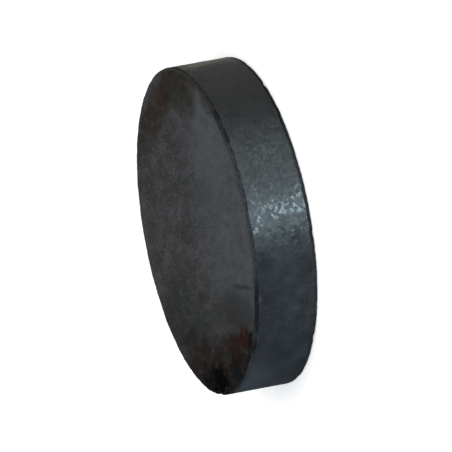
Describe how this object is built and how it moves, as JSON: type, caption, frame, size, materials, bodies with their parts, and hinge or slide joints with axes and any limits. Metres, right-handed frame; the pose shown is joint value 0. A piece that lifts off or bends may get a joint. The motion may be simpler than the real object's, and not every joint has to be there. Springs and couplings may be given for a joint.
{
  "type": "disc magnet",
  "caption": "Plain round ferrite disc magnet with ground flat pole faces, an as-fired rim and lightly chipped edges.",
  "frame": {"origin": "centre of the lower pole face, which the disc lies on", "axes": "+Z along the disc's axis, from the lower pole face to the upper one; the chipped stretch of the upper edge faces -Y and -X"},
  "size_m": [0.025, 0.025, 0.005],
  "materials": {
    "ferrite": "satin"
  },
  "bodies": {
    "root": {"disc_magnet": "ferrite"}
  },
  "joints": []
}
